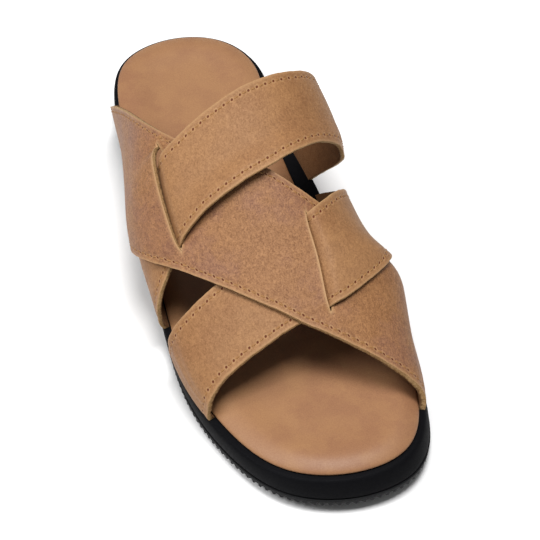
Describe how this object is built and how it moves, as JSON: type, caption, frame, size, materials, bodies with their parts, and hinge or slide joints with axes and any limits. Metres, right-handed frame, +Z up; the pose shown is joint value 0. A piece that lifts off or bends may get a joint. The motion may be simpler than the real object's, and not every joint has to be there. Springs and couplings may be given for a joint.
{
  "type": "slide sandal",
  "caption": "Open-toed leather slide sandal for the right foot, with a broad woven strap upper, a leather footbed and a black wedge sole.",
  "frame": {"origin": "middle of the bounding box, on the plane the sole stands on", "axes": "+Z up, -Y towards the toe, +X towards the medial (big toe) side of this right shoe"},
  "size_m": [0.112, 0.2854, 0.0995],
  "materials": {
    "outsole": "matt moulded rubber",
    "midsole": "matt moulded foam",
    "footbed": "smooth tan leather",
    "upper": "oiled tan leather, raw cut edges"
  },
  "bodies": {
    "root": {"outsole": "outsole", "midsole": "midsole", "footbed": "footbed", "upper": "upper"}
  },
  "joints": []
}
